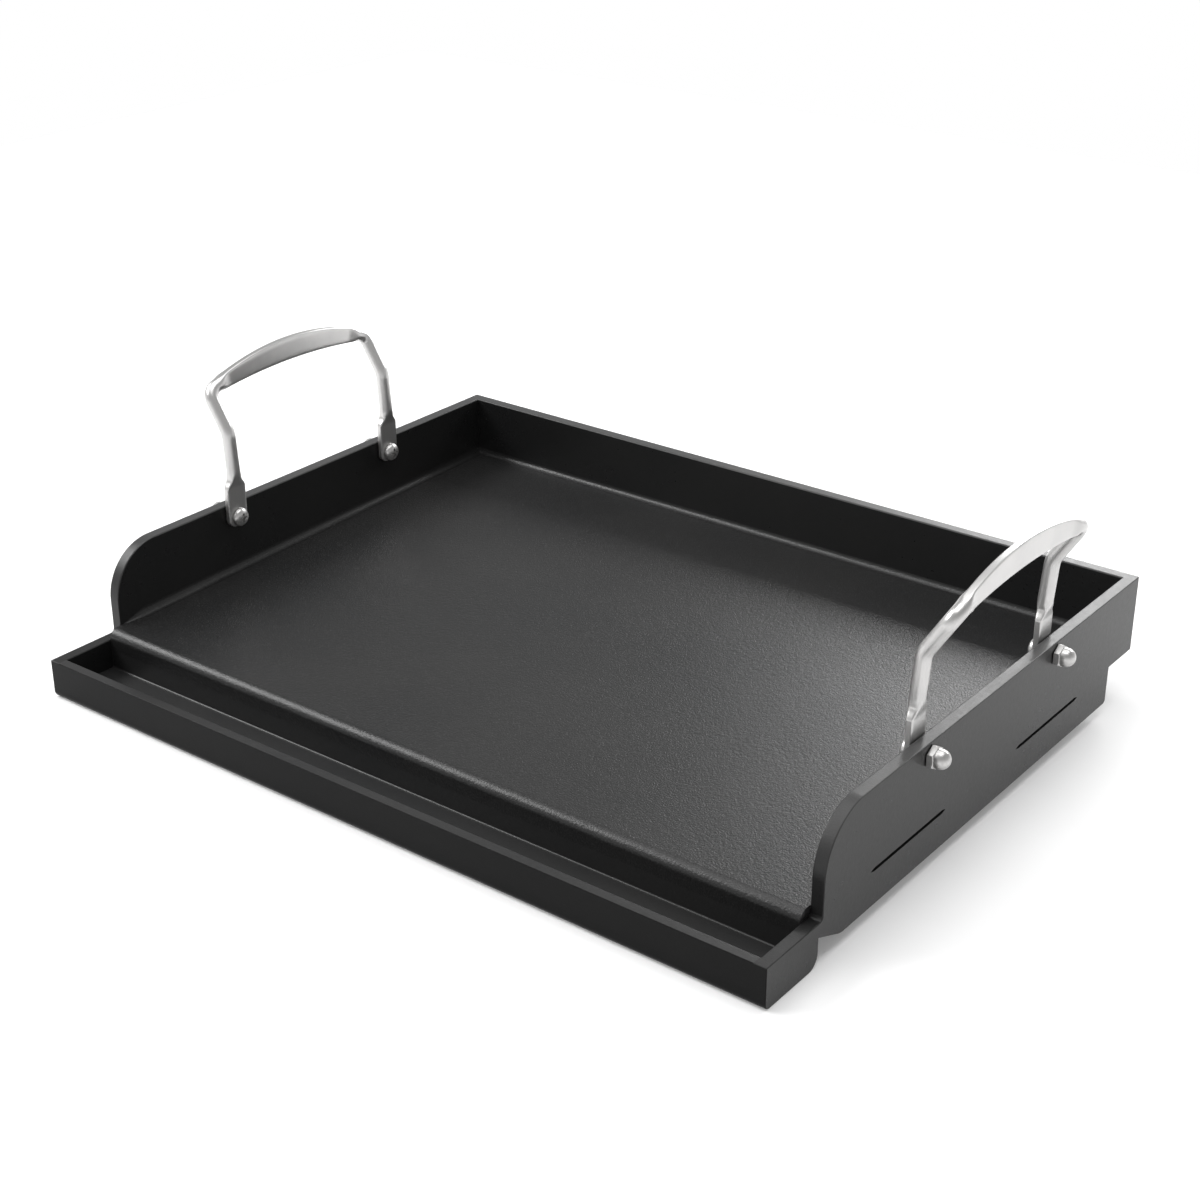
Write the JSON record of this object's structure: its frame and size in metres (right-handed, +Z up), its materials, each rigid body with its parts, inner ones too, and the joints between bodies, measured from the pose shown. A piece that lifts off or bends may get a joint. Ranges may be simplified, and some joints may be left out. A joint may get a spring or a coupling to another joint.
{
  "type": "griddle plate",
  "caption": "Grill-top griddle plate: a sloping coated pan with raised sides and back, a grease trough across the front, and bolted steel rod handles.",
  "frame": {"origin": "bottom centre of the bounding box, level with the trough's underside", "axes": "+X to the right across the griddle, +Y from the trough towards the rear wall, +Z up"},
  "size_m": [0.451, 0.333, 0.1419],
  "materials": {
    "coating": "dark grey satin non-stick coating with a fine grain on the cooking surface",
    "handle_steel": "bright satin rod, pressed flat at the tabs and the grip",
    "fastener_steel": "bright plated screws and acorn nuts"
  },
  "bodies": {
    "root": {"cooking_plate": "coating", "grease_trough": "coating", "rear_wall": "coating", "left_side_panel": "coating", "right_side_panel": "coating", "left_handle": "handle_steel", "right_handle": "handle_steel", "left_front_screw": "fastener_steel", "left_rear_screw": "fastener_steel", "right_front_screw": "fastener_steel", "right_rear_screw": "fastener_steel", "left_front_acorn_nut": "fastener_steel", "left_rear_acorn_nut": "fastener_steel", "right_front_acorn_nut": "fastener_steel", "right_rear_acorn_nut": "fastener_steel"}
  },
  "joints": []
}
